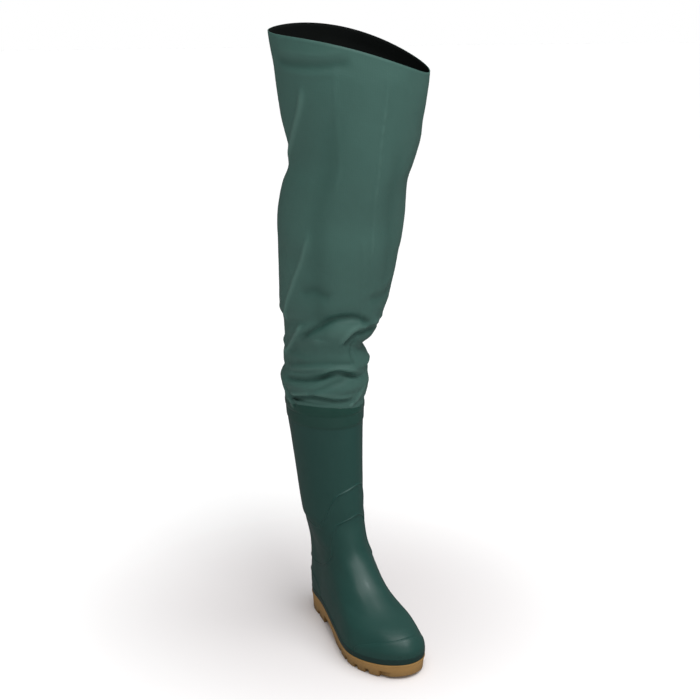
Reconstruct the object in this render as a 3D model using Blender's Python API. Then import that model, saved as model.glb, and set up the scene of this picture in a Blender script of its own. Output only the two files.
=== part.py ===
# Hip wader for the right leg: a moulded PVC boot, its tread sole and a coated fabric leg.
# X points to the toe, Y to the wearer's other leg and Z up. The origin is under the heel.
import math

import bmesh
import bpy
import numpy as np
from mathutils import Matrix

# Sizes of the foot, in metres
FOOT_LENGTH = 0.303
BALL_WIDTH = 0.116
HEEL_HEIGHT = 0.030
FOREFOOT_HEIGHT = 0.019
TOE_SPRING = 0.006
INSTEP_HEIGHT = 0.112
HEEL_REST = 0.042

# Sizes of the shaft, up to the top edge of the moulded boot
BOOT_HEIGHT = 0.372
CALF_DEPTH = 0.151
CALF_WIDTH = 0.119
BOOT_WALL = 0.0024
STEP = 0.0009

# Sizes of the fabric leg and of the tape welded round its lower end
COLLAR_HEIGHT = 0.884
COLLAR_OUTER_RISE = 0.036
COLLAR_INNER_RISE = -0.019
COLLAR_BACK_RISE = 0.043
COLLAR_FRONT_RISE = 0.010
COLLAR_SADDLE_TURN = math.radians(-9.0)
COLLAR_TWIST = math.radians(12.5)
THIGH_DEPTH = 0.186
THIGH_WIDTH = 0.240
LEG_WALL = 0.0011
TAPE_WALL = 0.0011
WELD_HEIGHT = 0.019
TAPE_TOP = 0.004

# Sizes of the sole
LUG_DEPTH = 0.0068
GROOVE = 0.0075
HEEL_LENGTH = 0.086
ARCH_END = 0.158
ARCH_CLEARANCE = 0.015
SOLE_DRAFT = 0.0028
SOLE_LIP = 0.0006
SOLE_EDGE = 0.0042
SOLE_INSET = 0.0008
INSOLE_THICKNESS = 0.0035
GAP = 0.0003

# Raised parts of the boot's wall: upper edge of the rand and edges of the panels as rises, the toe
# cap's tip, curve and ramp as shares of FOOT_LENGTH, the weld collar's step as a share of STEP
RAND_SHARE = 0.080
TOE_CAP_START_SHARE = 0.944
TOE_CAP_CURVE_SHARE = 0.640
TOE_CAP_RAMP_SHARE = 0.012
REAR_PANEL_SHARES = (0.598, 1.122)
FRONT_PANEL_SHARES = (1.213, 1.400)
PANEL_TURN = 112.0
COLLAR_BAND = 0.021
COLLAR_STEP_SHARE = 1.4
EDGE_SHARE = 0.0035
SHARP_EDGE_SHARE = 0.0003

# Fineness of the faceted surfaces: points round a section, and the rises or shares of the rings
AROUND = 48
STATIONS = 12
FOOT_RISE_SHARES = (0.196, 0.280, 0.357, 0.410, 0.464, 0.530)
ANKLE_RISE_SHARES = (0.714, 0.790, 0.866, 1.000, 1.057)
SHAFT_RISE_SHARES = (1.520, 1.650)
LINING_RISE_SHARES = (0.0, 0.100, 0.196, 0.280, 0.357, 0.410, 0.464, 0.530, 0.598, 0.714, 0.790,
                      0.866, 1.000, 1.057, 1.122, 1.213, 1.400, 1.650, 2.000)
LEG_SHARES = (0.020, 0.030, 0.044, 0.062, 0.076, 0.090,
              0.108, 0.128, 0.147, 0.165, 0.188, 0.215, 0.245, 0.280, 0.325, 0.380, 0.440, 0.510,
              0.580, 0.640, 0.690, 0.745, 0.810, 0.870, 0.935, 1.000)

# Grooves from the side of the tread: place along FOOT_LENGTH and slant in degrees
SIDE_GROOVE_SHARES = ((0.105, 4.0), (0.200, 4.0), (0.600, -10.0), (0.695, -8.0), (0.785, -4.0), (0.865, 6.0))
GROOVE_START_SHARE = 0.11

# Grooves at the tip: place along FOOT_LENGTH, distance from the centre line as a share of
# BALL_WIDTH, and slant in degrees
TIP_GROOVE_PLACE_SHARES = ((0.965, -0.24, 28.0), (0.950, 0.36, -24.0))
TIP_GROOVE_SHARE = 0.30
CUT_BELOW = 0.010

# The last's centre line seen from above: shares of foot length, then of ball width
LAST_CURVE_SHARES = ((-0.30, 0.0), (0.0, 0.0), (0.25, -0.018), (0.50, -0.022), (0.75, 0.010),
                     (0.93, 0.058), (1.0, 0.075))

# Sections of the foot. Rises are shares of INSTEP_HEIGHT up to 1 and of the shaft above that,
# back and front are shares of FOOT_LENGTH, the rest are half widths as shares of BALL_WIDTH.
FOOT_COLUMNS = ("rise_back", "rise_mid", "rise_front", "back", "front", "sway",
                "heel", "seat", "waist", "ball", "toe")
FOOT_ROW_SHARES = (
    (0.000, 0.000, 0.000, 0.007, 0.990, 0.000, 0.268, 0.312, 0.392, 0.482, 0.308),
    (0.080, 0.080, 0.080, 0.003, 0.993, 0.000, 0.272, 0.317, 0.397, 0.486, 0.311),
    (0.196, 0.196, 0.180, 0.000, 0.985, 0.000, 0.277, 0.321, 0.390, 0.473, 0.299),
    (0.357, 0.357, 0.304, 0.000, 0.953, 0.000, 0.277, 0.321, 0.371, 0.425, 0.246),
    (0.464, 0.446, 0.388, 0.003, 0.893, 0.000, 0.272, 0.321, 0.352, 0.378, 0.223),
    (0.589, 0.562, 0.460, 0.007, 0.800, 0.000, 0.268, 0.314, 0.339, 0.321, 0.192),
    (0.714, 0.696, 0.560, 0.010, 0.700, 0.000, 0.263, 0.308, 0.335, 0.286, 0.174),
    (0.866, 0.848, 0.690, 0.013, 0.600, -0.010, 0.259, 0.308, 0.330, 0.272, 0.165),
    (1.000, 0.982, 0.822, 0.013, 0.527, -0.030, 0.259, 0.312, 0.339, 0.277, 0.165),
    (1.057, 1.061, 0.964, 0.010, 0.480, -0.055, 0.256, 0.318, 0.350, 0.292, 0.174),
    (1.109, 1.120, 1.078, 0.000, 0.449, -0.074, 0.245, 0.325, 0.364, 0.308, 0.183),
)

# Sections of the shaft: rise as above, middle as a share of FOOT_LENGTH, sway of BALL_WIDTH,
# depth and width as shares of CALF_DEPTH and CALF_WIDTH.
SHAFT_COLUMNS = ("rise", "middle", "sway", "depth", "width")
SHAFT_ROW_SHARES = (
    (1.165, 0.206, -0.090, 0.881, 0.768),
    (1.252, 0.193, -0.100, 0.894, 0.790),
    (1.470, 0.165, -0.108, 0.927, 0.850),
    (1.687, 0.143, -0.118, 0.960, 0.915),
    (1.822, 0.132, -0.126, 0.980, 0.965),
    (2.000, 0.125, -0.130, 1.000, 1.000),
)

# Sections of the fabric leg: rise from the boot's top edge to the collar, middle as a share of
# FOOT_LENGTH, sway of BALL_WIDTH, depth and width from 0 for the calf's size to 1 for the
# thigh's, and corner, from 1 for a round tube to 2 for one pressed flat along its side creases.
LEG_COLUMNS = ("rise", "middle", "sway", "depth", "width", "corner")
LEG_ROW_SHARES = (
    (0.000, 0.125, -0.130, 0.00, 0.000, 1.00),
    (0.040, 0.122, -0.135, 0.44, 0.098, 1.00),
    (0.073, 0.117, -0.118, 0.36, 0.038, 1.00),
    (0.105, 0.115, -0.095, 0.47, 0.048, 1.00),
    (0.158, 0.108, -0.105, 0.50, -0.021, 1.00),
    (0.212, 0.135, -0.066, 0.60, 0.167, 1.02),
    (0.300, 0.150, -0.020, 0.50, 0.385, 1.04),
    (0.450, 0.180, 0.017, 0.81, 0.514, 1.06),
    (0.535, 0.190, 0.035, 0.84, 0.583, 1.08),
    (0.630, 0.207, 0.068, 1.00, 0.548, 1.10),
    (0.700, 0.225, 0.118, 1.00, 0.534, 1.12),
    (0.805, 0.237, 0.125, 0.81, 0.722, 1.20),
    (0.920, 0.243, 0.122, 0.74, 0.861, 1.22),
    (1.000, 0.235, 0.116, 0.66, 0.975, 1.24),
)

# Folds of the leg. Height is a share of the leg, around is the middle of the fold in degrees
# from the back through the outer side, span is half its length in degrees, climb is the rise
# over that half length, half_width is a share of the leg, and depth a share of THIGH_DEPTH.
FOLD_COLUMNS = ("height", "around", "span", "climb", "half_width", "depth")
FOLD_ROW_SHARES = (
    (0.030, 150.0, 120.0, 0.004, 0.012, 0.013),
    (0.088, 150.0, 115.0, 0.006, 0.013, 0.022),
    (0.130, 115.0, 60.0, -0.012, 0.012, -0.010),
    (0.165, 222.0, 52.0, -0.018, 0.020, 0.048),
    (0.250, 125.0, 75.0, 0.034, 0.020, 0.024),
    (0.170, 10.0, 60.0, 0.010, 0.020, 0.030),
    (0.245, 335.0, 60.0, -0.020, 0.022, 0.022),
    (0.430, 115.0, 42.0, -0.030, 0.034, 0.012),
    (0.690, 66.0, 34.0, 0.020, 0.060, 0.046),
    (0.660, 246.0, 30.0, 0.010, 0.040, 0.014),
    (0.560, 300.0, 50.0, 0.030, 0.040, 0.018),
)

# How squarely a fold fades towards its two ends
FOLD_FADE = 2.0


def material(name, colour, roughness):
    """A moulded or coated plastic with the given linear colour."""
    made = bpy.data.materials.new(name)
    made.use_nodes = True
    shader = made.node_tree.nodes["Principled BSDF"]
    shader.inputs["Base Color"].default_value = (*colour, 1.0)
    shader.inputs["Roughness"].default_value = roughness
    shader.inputs["Metallic"].default_value = 0.0
    return made


def smooth(share):
    """A ramp from 0 to 1 with level ends."""
    held = min(max(share, 0.0), 1.0)
    return held * held * (3.0 - 2.0 * held)


def between(values, t):
    """A smooth curve through evenly numbered values, read at place t."""
    last = len(values) - 1
    first = int(min(max(math.floor(t), 0), last - 1))
    f = t - first
    p0, p1 = values[max(first - 1, 0)], values[first]
    p2, p3 = values[first + 1], values[min(first + 2, last)]
    slope1 = (p2 - p0) * 0.5
    slope2 = (p3 - p1) * 0.5
    f2, f3 = f * f, f * f * f
    return ((2 * f3 - 3 * f2 + 1) * p1 + (f3 - 2 * f2 + f) * slope1
            + (3 * f2 - 2 * f3) * p2 + (f3 - f2) * slope2)


def closed_curve(knots, count):
    """A smooth closed curve through the knots, with count points."""
    many = len(knots)
    points = []
    for i in range(count):
        place = i * many / count
        k = int(place)
        window = np.array([knots[(k + shift) % many] for shift in (-1, 0, 1, 2)])
        points.append(between(window, 1.0 + place - k))
    return np.array(points)


def last_centre(x):
    """How far the last curves inwards at a place along the foot."""
    shares, shifts = zip(*LAST_CURVE_SHARES)
    return float(np.interp(x / FOOT_LENGTH, shares, shifts)) * BALL_WIDTH


def feather_height(x):
    """Height of the line where upper and sole meet, x from the back of the heel."""
    share = x / FOOT_LENGTH
    drop = smooth((share - 0.28) / 0.38)
    spring = max(share - 0.72, 0.0) / 0.28
    return HEEL_HEIGHT + (FOREFOOT_HEIGHT - HEEL_HEIGHT) * drop + TOE_SPRING * spring ** 2


def lift(rise):
    """Height over the feather line of a rise in the tables of foot and shaft."""
    shaft = BOOT_HEIGHT - HEEL_HEIGHT - INSTEP_HEIGHT
    return INSTEP_HEIGHT * min(rise, 1.0) + shaft * max(rise - 1.0, 0.0)


def station_knots(back, front, sway, rises, halves):
    """Twelve knots of one section, back, five outer, front and five inner; the third value is
    each knot's height over the feather line."""
    knots = []
    for k in range(STATIONS):
        turn = 2.0 * math.pi * k / STATIONS
        share = (1.0 - math.cos(turn)) / 2.0
        x = back + (front - back) * share
        side = 0.0 if k in (0, STATIONS // 2) else (-1.0 if k < STATIONS // 2 else 1.0)
        half = halves[min(k, STATIONS - k) - 1] if side else 0.0
        rise = rises[0] + (rises[1] - rises[0]) * min(share, 0.5) * 2.0
        rise += (rises[2] - rises[1]) * max(share - 0.5, 0.0) * 2.0
        knots.append((x, last_centre(x) + sway + side * half, lift(rise)))
    return np.array(knots)


def boot_sections():
    """Rises and knots of each section in the two tables."""
    rises, sections = [], []
    for row in FOOT_ROW_SHARES:
        r = dict(zip(FOOT_COLUMNS, row))
        halves = [r[name] * BALL_WIDTH for name in ("heel", "seat", "waist", "ball", "toe")]
        rises.append(r["rise_back"])
        sections.append(station_knots(r["back"] * FOOT_LENGTH, r["front"] * FOOT_LENGTH, r["sway"] * BALL_WIDTH,
                                      (r["rise_back"], r["rise_mid"], r["rise_front"]), halves))
    for row in SHAFT_ROW_SHARES:
        r = dict(zip(SHAFT_COLUMNS, row))
        half_depth = r["depth"] * CALF_DEPTH / 2.0
        half_width = r["width"] * CALF_WIDTH / 2.0
        middle = r["middle"] * FOOT_LENGTH
        halves = [half_width * math.sin(math.pi * k / 6.0) for k in range(1, 6)]
        rises.append(r["rise"])
        sections.append(station_knots(middle - half_depth, middle + half_depth, r["sway"] * BALL_WIDTH,
                                      (r["rise"],) * 3, halves))
    return rises, sections


RISES, SECTIONS = boot_sections()


def boot_ring(rise, count=AROUND):
    """The boot's outer outline at a rise, without its raised panels."""
    t = float(np.interp(rise, RISES, range(len(RISES))))
    ring = closed_curve(between(SECTIONS, t), count)
    level = smooth((rise - 0.80) / 0.45)
    ring[:, 2] += [level * HEEL_HEIGHT + (1.0 - level) * feather_height(x) for x in ring[:, 0]]
    return ring


def outward(rings):
    """Unit normals of a stack of rings, by differences along and across them."""
    grid = np.array(rings)
    along = np.roll(grid, -1, axis=1) - np.roll(grid, 1, axis=1)
    across = np.gradient(grid, axis=0)
    normal = np.cross(along, across)
    return normal / np.linalg.norm(normal, axis=2, keepdims=True)


def spread(ring, distance):
    """A ring moved outwards by a distance, square to its own outline seen from above."""
    along = np.roll(ring, -1, axis=0) - np.roll(ring, 1, axis=0)
    normal = np.stack([along[:, 1], -along[:, 0], np.zeros(len(ring))], axis=1)
    return ring + normal / np.linalg.norm(normal, axis=1, keepdims=True) * distance


def rise_at(height):
    """The rise of a height above the floor, on the shaft."""
    return 1.0 + (height - HEEL_HEIGHT - INSTEP_HEIGHT) / (BOOT_HEIGHT - HEEL_HEIGHT - INSTEP_HEIGHT)


def collar_rises():
    """Rises of the lower and upper edge of the weld collar, which carries the leg's end."""
    return rise_at(BOOT_HEIGHT - WELD_HEIGHT - COLLAR_BAND), rise_at(BOOT_HEIGHT - WELD_HEIGHT - GAP)


def raised(rise, turn, x, y):
    """Share of STEP by which the wall stands proud; turn is in degrees from the back."""
    from_back = min(turn, 360.0 - turn)
    if rise < RAND_SHARE:
        return 1.0
    cap_edge = TOE_CAP_START_SHARE - TOE_CAP_CURVE_SHARE * ((y - last_centre(x)) / BALL_WIDTH) ** 2
    cap = smooth((x / FOOT_LENGTH - cap_edge) / TOE_CAP_RAMP_SHARE) if rise < REAR_PANEL_SHARES[0] else 0.0
    low, high = REAR_PANEL_SHARES if from_back < PANEL_TURN else FRONT_PANEL_SHARES
    panel = 1.0 if low < rise < high else 0.0
    collar_low, collar_high = collar_rises()
    collar = COLLAR_STEP_SHARE if collar_low < rise < collar_high else 0.0
    return max(cap, panel, collar)


def boot_wall_rings(rises, offset, with_steps):
    """Rings of the boot's wall at the rises, offset outwards, with or without its raised parts."""
    rings = [boot_ring(rise) for rise in rises]
    normals = outward(rings)
    moved = []
    for rise, ring, normal in zip(rises, rings, normals):
        out = np.full(AROUND, offset)
        if with_steps:
            out += [STEP * raised(rise, 360.0 * i / AROUND, *ring[i][:2]) for i in range(AROUND)]
        placed = ring + normal * out[:, None]
        if rise in (rises[0], rises[-1]):
            placed[:, 2] = ring[:, 2]
        moved.append(placed)
    return moved


def mesh_object(name, bm, finish):
    """Put a closed mesh into the scene, placed so that the origin lies under the heel."""
    bmesh.ops.translate(bm, verts=bm.verts, vec=(-HEEL_REST, 0.0, 0.0))
    bmesh.ops.recalc_face_normals(bm, faces=bm.faces)
    mesh = bpy.data.meshes.new(name)
    bm.to_mesh(mesh)
    bm.free()
    mesh.shade_smooth()
    mesh.set_sharp_from_angle(angle=math.radians(35.0))
    mesh.materials.append(finish)
    placed = bpy.data.objects.new(name, mesh)
    bpy.context.scene.collection.objects.link(placed)
    return placed


def ring_walls(bm, rings, join_ends):
    """Faces between each ring and the next, and from the last to the first when asked."""
    loops = [[bm.verts.new(point) for point in ring] for ring in rings]
    pairs = list(zip(loops, loops[1:]))
    if join_ends:
        pairs.append((loops[-1], loops[0]))
    for low, high in pairs:
        for i in range(len(low)):
            j = (i + 1) % len(low)
            bm.faces.new((low[i], low[j], high[j], high[i]))
    return loops


def tube(name, outer, inner, finish):
    """A hollow wall between outer rings and inner rings, both given from bottom to top."""
    bm = bmesh.new()
    ring_walls(bm, list(outer) + list(reversed(inner)), True)
    return mesh_object(name, bm, finish)


def plate(name, rings, finish):
    """A solid through rings from bottom to top, closed by strips that run across it."""
    bm = bmesh.new()
    loops = ring_walls(bm, rings, False)
    for loop in (loops[0], loops[-1]):
        half = len(loop) // 2
        bm.faces.new((loop[0], loop[1], loop[-1]))
        for i in range(1, half - 1):
            bm.faces.new((loop[i], loop[i + 1], loop[-i - 1], loop[-i]))
        bm.faces.new((loop[half - 1], loop[half], loop[half + 1]))
    return mesh_object(name, bm, finish)


def at_heights(ring, height_of):
    """A ring whose heights come from its places along the foot."""
    placed = ring.copy()
    placed[:, 2] = [height_of(x) for x in ring[:, 0]]
    return placed


def upper_rises():
    """Rises of the outer rings, two close together at each edge of a raised part."""
    collar_low, collar_high = collar_rises()
    edges = [(RAND_SHARE, EDGE_SHARE), *((rise, EDGE_SHARE) for rise in REAR_PANEL_SHARES + FRONT_PANEL_SHARES),
             (collar_low, EDGE_SHARE), (collar_high, SHARP_EDGE_SHARE)]
    doubled = [rise + side * half for rise, half in edges for side in (-1.0, 1.0)]
    return sorted((0.0, *FOOT_RISE_SHARES, *ANKLE_RISE_SHARES, *SHAFT_RISE_SHARES, *doubled, 2.0))


def build_upper(finish):
    """The moulded boot: one wall from the feather line to the top of the shaft."""
    outer = boot_wall_rings(upper_rises(), 0.0, True)
    inner = boot_wall_rings(LINING_RISE_SHARES, -BOOT_WALL, False)
    return tube("boot_upper", outer, inner, finish)


def collar_height(turn):
    """Height of the leg's cut top edge; turn is in radians from the back through the outer side."""
    sides = COLLAR_OUTER_RISE + COLLAR_INNER_RISE
    ends = COLLAR_BACK_RISE + COLLAR_FRONT_RISE
    slope = (COLLAR_OUTER_RISE - COLLAR_INNER_RISE) / 2.0 * math.sin(turn)
    slope += (COLLAR_BACK_RISE - COLLAR_FRONT_RISE) / 2.0 * math.cos(turn)
    saddle = (ends - sides) / 4.0 * math.cos(2.0 * (turn - COLLAR_SADDLE_TURN))
    return COLLAR_HEIGHT + (ends + sides) / 4.0 + slope + saddle


def fold_depth(share, turn):
    """How far the folds press the leg inwards at a height share and a turn in degrees."""
    total = 0.0
    for row in FOLD_ROW_SHARES:
        r = dict(zip(FOLD_COLUMNS, row))
        off = (turn - r["around"] + 180.0) % 360.0 - 180.0
        along = off / r["span"]
        if abs(along) >= 1.0:
            continue
        across = (share - r["height"] - r["climb"] * along) / r["half_width"]
        total += r["depth"] * THIGH_DEPTH * math.exp(-across ** 2) * (1.0 - abs(along) ** FOLD_FADE)
    return total


def leg_length():
    """Length of the leg from the boot's top edge to the height that the collar's cut is set from."""
    return COLLAR_HEIGHT - BOOT_HEIGHT


def leg_outline(share):
    """The leg's own outline at a height share, folded, before wall and clearance are added."""
    heights = [row[0] for row in LEG_ROW_SHARES]
    if share <= 0.0:
        return boot_ring(rise_at(BOOT_HEIGHT + share * leg_length()))
    t = float(np.interp(share, heights, range(len(heights))))
    r = dict(zip(LEG_COLUMNS, between(np.array(LEG_ROW_SHARES), t)))
    half_depth = (CALF_DEPTH + r["depth"] * (THIGH_DEPTH - CALF_DEPTH)) / 2.0
    half_width = (CALF_WIDTH + r["width"] * (THIGH_WIDTH - CALF_WIDTH)) / 2.0
    ring = np.zeros((AROUND, 3))
    for i in range(AROUND):
        turn = 2.0 * math.pi * i / AROUND
        reach = math.copysign(abs(math.cos(turn)) ** r["corner"], math.cos(turn))
        x = -reach * half_depth
        y = -math.sin(turn) * half_width
        twist = COLLAR_TWIST * smooth(share)
        z = BOOT_HEIGHT + share * leg_length() + (collar_height(turn) - BOOT_HEIGHT - leg_length()) * share ** 3
        ring[i] = (x * math.cos(twist) + y * math.sin(twist) + r["middle"] * FOOT_LENGTH,
                   -x * math.sin(twist) + y * math.cos(twist) + r["sway"] * BALL_WIDTH, z)
    pressed = np.array([fold_depth(share, 360.0 * i / AROUND) for i in range(AROUND)])
    inwards = spread(ring, -1.0) - ring
    return ring + inwards * pressed[:, None]


def leg_shares():
    """Height shares of the leg's rings, the first at its lower end on the boot."""
    return (-WELD_HEIGHT / leg_length(), 0.0, TAPE_TOP / leg_length()) + LEG_SHARES


def build_leg(finish):
    """The coated fabric tube from the weld to the cut collar."""
    outlines = [leg_outline(share) for share in leg_shares()]
    outer = [spread(ring, GAP + LEG_WALL) for ring in outlines]
    inner = [spread(ring, GAP) for ring in outlines]
    return tube("leg", outer, inner, finish)


def build_tape(finish):
    """The welded tape round the leg's lower end."""
    outlines = [leg_outline(share) for share in leg_shares()[:3]]
    inner = [spread(ring, 2.0 * GAP + LEG_WALL) for ring in outlines]
    outer = [spread(ring, 2.0 * GAP + LEG_WALL + TAPE_WALL) for ring in outlines]
    return tube("weld_tape", outer, inner, finish)


def tread_height(x):
    """Height of the tread's plane, level up to the ball and rising towards the toe."""
    spring = max(x / FOOT_LENGTH - 0.80, 0.0) / 0.20
    return TOE_SPRING * spring ** 2


def cutter(name, bm):
    """A hidden shape that only takes material away."""
    placed = mesh_object(name, bm, material(name, (0.5, 0.5, 0.5), 0.5))
    placed.hide_render = True
    placed.display_type = "WIRE"
    return placed


def groove_cutter():
    """Boxes for the grooves that split the edge of the tread into lugs."""
    bm = bmesh.new()
    boxes = []
    for share, slant in SIDE_GROOVE_SHARES:
        for side in (-1.0, 1.0):
            x = share * FOOT_LENGTH
            y = last_centre(x) + side * (GROOVE_START_SHARE + 0.5) * BALL_WIDTH
            boxes.append((x, y, 90.0 - side * slant, BALL_WIDTH))
    for share, aside, slant in TIP_GROOVE_PLACE_SHARES:
        x = share * FOOT_LENGTH
        boxes.append((x, last_centre(x) + aside * BALL_WIDTH, slant, TIP_GROOVE_SHARE * BALL_WIDTH))
    for x, y, angle, length in boxes:
        top = tread_height(x) + LUG_DEPTH
        made = bmesh.ops.create_cube(bm, size=1.0)["verts"]
        bmesh.ops.scale(bm, vec=(length, GROOVE, top + CUT_BELOW), verts=made)
        bmesh.ops.rotate(bm, matrix=Matrix.Rotation(math.radians(angle), 3, "Z"), verts=made)
        bmesh.ops.translate(bm, vec=(x, y, (top - CUT_BELOW) / 2.0), verts=made)
    return cutter("groove_cutter", bm)


def arch_cutter():
    """The hollow between heel breast and forefoot, as a profile drawn across the sole."""
    start, end = HEEL_LENGTH, ARCH_END
    length = end - start
    profile = ((start, -CUT_BELOW), (start, 0.0), (start + 0.04 * length, 0.87 * ARCH_CLEARANCE),
               (start + 0.08 * length, ARCH_CLEARANCE), (start + 0.45 * length, ARCH_CLEARANCE),
               (start + 0.75 * length, 0.62 * ARCH_CLEARANCE), (end, 0.0), (end, -CUT_BELOW))
    bm = bmesh.new()
    side = bm.faces.new([bm.verts.new((x, -BALL_WIDTH, z)) for x, z in profile])
    grown = bmesh.ops.extrude_face_region(bm, geom=[side])
    moved = [item for item in grown["geom"] if isinstance(item, bmesh.types.BMVert)]
    bmesh.ops.translate(bm, vec=(0.0, 2.0 * BALL_WIDTH, 0.0), verts=moved)
    return cutter("arch_cutter", bm)


def build_outsole(finish):
    """The tread sole: lipped edge, heel, arch, lugs and toe spring."""
    base = boot_ring(0.0)
    top = at_heights(spread(base, SOLE_LIP + STEP), lambda x: feather_height(x) - GAP)
    lip = at_heights(spread(base, SOLE_LIP + STEP), lambda x: feather_height(x) - SOLE_EDGE)
    under = at_heights(spread(base, SOLE_LIP + STEP - SOLE_INSET),
                       lambda x: feather_height(x) - SOLE_EDGE - SOLE_INSET)
    tread = at_heights(spread(base, SOLE_LIP + STEP - SOLE_DRAFT), tread_height)
    sole = plate("outsole", (tread, under, lip, top), finish)
    for tool in (arch_cutter(), groove_cutter()):
        cut = sole.modifiers.new(tool.name, "BOOLEAN")
        cut.operation = "DIFFERENCE"
        cut.solver = "EXACT"
        cut.object = tool
    return sole


def build_insole(finish):
    """The footbed that lies on the sole inside the boot."""
    base = spread(boot_ring(0.0), -(BOOT_WALL + 3.0 * GAP))
    low = at_heights(base, feather_height)
    high = at_heights(base, lambda x: feather_height(x) + INSOLE_THICKNESS)
    return plate("insole", (low, high), finish)


for leftover in list(bpy.data.objects):
    bpy.data.objects.remove(leftover, do_unlink=True)
build_upper(material("moulded_green_pvc", (0.024, 0.062, 0.053), 0.38))
build_leg(material("coated_green_fabric", (0.055, 0.112, 0.100), 0.62))
build_tape(material("glossy_weld", (0.018, 0.058, 0.050), 0.28))
build_outsole(material("tan_tread_pvc", (0.356, 0.197, 0.083), 0.55))
build_insole(material("dark_footbed", (0.012, 0.016, 0.015), 0.80))
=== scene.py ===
import math

import bmesh
import bpy
import numpy as np
from mathutils import Matrix, Vector, noise


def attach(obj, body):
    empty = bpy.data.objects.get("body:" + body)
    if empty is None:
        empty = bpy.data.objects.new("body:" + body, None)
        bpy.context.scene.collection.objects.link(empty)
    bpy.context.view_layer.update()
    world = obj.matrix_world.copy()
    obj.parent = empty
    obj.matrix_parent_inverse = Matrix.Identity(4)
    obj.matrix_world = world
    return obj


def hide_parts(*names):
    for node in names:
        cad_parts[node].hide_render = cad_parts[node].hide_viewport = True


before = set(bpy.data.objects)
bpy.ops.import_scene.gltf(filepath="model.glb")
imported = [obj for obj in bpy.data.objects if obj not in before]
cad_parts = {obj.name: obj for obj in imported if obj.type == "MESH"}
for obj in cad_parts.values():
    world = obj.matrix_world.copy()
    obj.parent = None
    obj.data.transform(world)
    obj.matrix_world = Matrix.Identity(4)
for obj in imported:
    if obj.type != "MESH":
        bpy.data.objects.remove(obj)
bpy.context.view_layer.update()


# Tread sole: a block of tan PVC, moulded straight onto the boot. It has a heel, a hollow arch
# and a lugged forefoot. Its sides lean in towards the floor, and a thin lip runs round its top.
FOOT_LENGTH = 0.303
BALL_WIDTH = 0.116
HEEL_HEIGHT = 0.030
FOREFOOT_HEIGHT = 0.019
TOE_SPRING = 0.006
INSTEP_HEIGHT = 0.112
BOOT_HEIGHT = 0.372
CALF_DEPTH = 0.151
CALF_WIDTH = 0.119
SHAFT_HEIGHT = BOOT_HEIGHT - HEEL_HEIGHT - INSTEP_HEIGHT
HEEL_REST = 0.042
STEP = 0.0009
SOLE_LIP = 0.0006
SOLE_EDGE = 0.0042
SOLE_DRAFT = 0.0028
LUG_DEPTH = 0.0068
GROOVE = 0.0075
HEEL_LENGTH = 0.086
ARCH_END = 0.158
ARCH_CLEARANCE = 0.015
CUT_BELOW = 0.010
SOLE_POINTS = 240

# Where the feather line falls from heel to forefoot, where it springs up to the toe, and where the
# tread does: start and length of each, as shares of the foot's length
FALL_START, FALL_LENGTH = 0.28, 0.38
SPRING_START, SPRING_LENGTH = 0.72, 0.28
TREAD_START, TREAD_LENGTH = 0.80, 0.20

# The rises over which the boot's sections turn level instead of following the feather line
LEVEL_START, LEVEL_LENGTH = 0.80, 0.45

# Outlines of the sole: share and draft of the one half way up, then those of the lip, each with how
# far it lies inside the lip, and its height over the lip's foot or its depth under the feather line
SOLE_MIDDLE = 0.45
MIDDLE_DRAFT = 0.0020
LIP_FOOT = ((0.0013, -0.0012), (0.0011, 0.0), (0.0006, 0.0008), (0.0002, 0.0015), (0.0, 0.0024))
LIP_TOP = ((0.0, 0.0010), (0.0005, 0.0003))

# The arch's ceiling: place and height, as shares of its length and its clearance
ARCH_PROFILE = ((0.0, 0.0), (0.04, 0.87), (0.08, 1.0), (0.45, 1.0), (0.60, 0.86), (0.75, 0.62),
                (0.90, 0.26), (1.0, 0.0))

# How the cut sole is cleaned and its edges are rounded
DOUBLES = 0.0002
SLIVERS = 0.0001
EDGE_RADIUS = 0.0006
ROUNDED_ANGLE = math.radians(60.0)
SHARP_ANGLE = math.radians(38.0)

# The last's centre line seen from above, as shares of foot length and of ball width
LAST_CURVE = ((-0.30, 0.0), (0.0, 0.0), (0.25, -0.018), (0.50, -0.022), (0.75, 0.010), (0.93, 0.058),
              (1.0, 0.075))

# Sections of the foot: rise at back, middle and front, back and front as shares of the foot's
# length, sway, and five half widths from heel to toe as shares of the ball's width
FOOT_ROWS = (
    (0.000, 0.000, 0.000, 0.007, 0.990, 0.000, 0.268, 0.312, 0.392, 0.482, 0.308),
    (0.080, 0.080, 0.080, 0.003, 0.993, 0.000, 0.272, 0.317, 0.397, 0.486, 0.311),
    (0.196, 0.196, 0.180, 0.000, 0.985, 0.000, 0.277, 0.321, 0.390, 0.473, 0.299),
    (0.357, 0.357, 0.304, 0.000, 0.953, 0.000, 0.277, 0.321, 0.371, 0.425, 0.246),
    (0.464, 0.446, 0.388, 0.003, 0.893, 0.000, 0.272, 0.321, 0.352, 0.378, 0.223),
    (0.589, 0.562, 0.460, 0.007, 0.800, 0.000, 0.268, 0.314, 0.339, 0.321, 0.192),
    (0.714, 0.696, 0.560, 0.010, 0.700, 0.000, 0.263, 0.308, 0.335, 0.286, 0.174),
    (0.866, 0.848, 0.690, 0.013, 0.600, -0.010, 0.259, 0.308, 0.330, 0.272, 0.165),
    (1.000, 0.982, 0.822, 0.013, 0.527, -0.030, 0.259, 0.312, 0.339, 0.277, 0.165),
    (1.057, 1.061, 0.964, 0.010, 0.480, -0.055, 0.256, 0.318, 0.350, 0.292, 0.174),
    (1.109, 1.120, 1.078, 0.000, 0.449, -0.074, 0.245, 0.325, 0.364, 0.308, 0.183),
)

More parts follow.
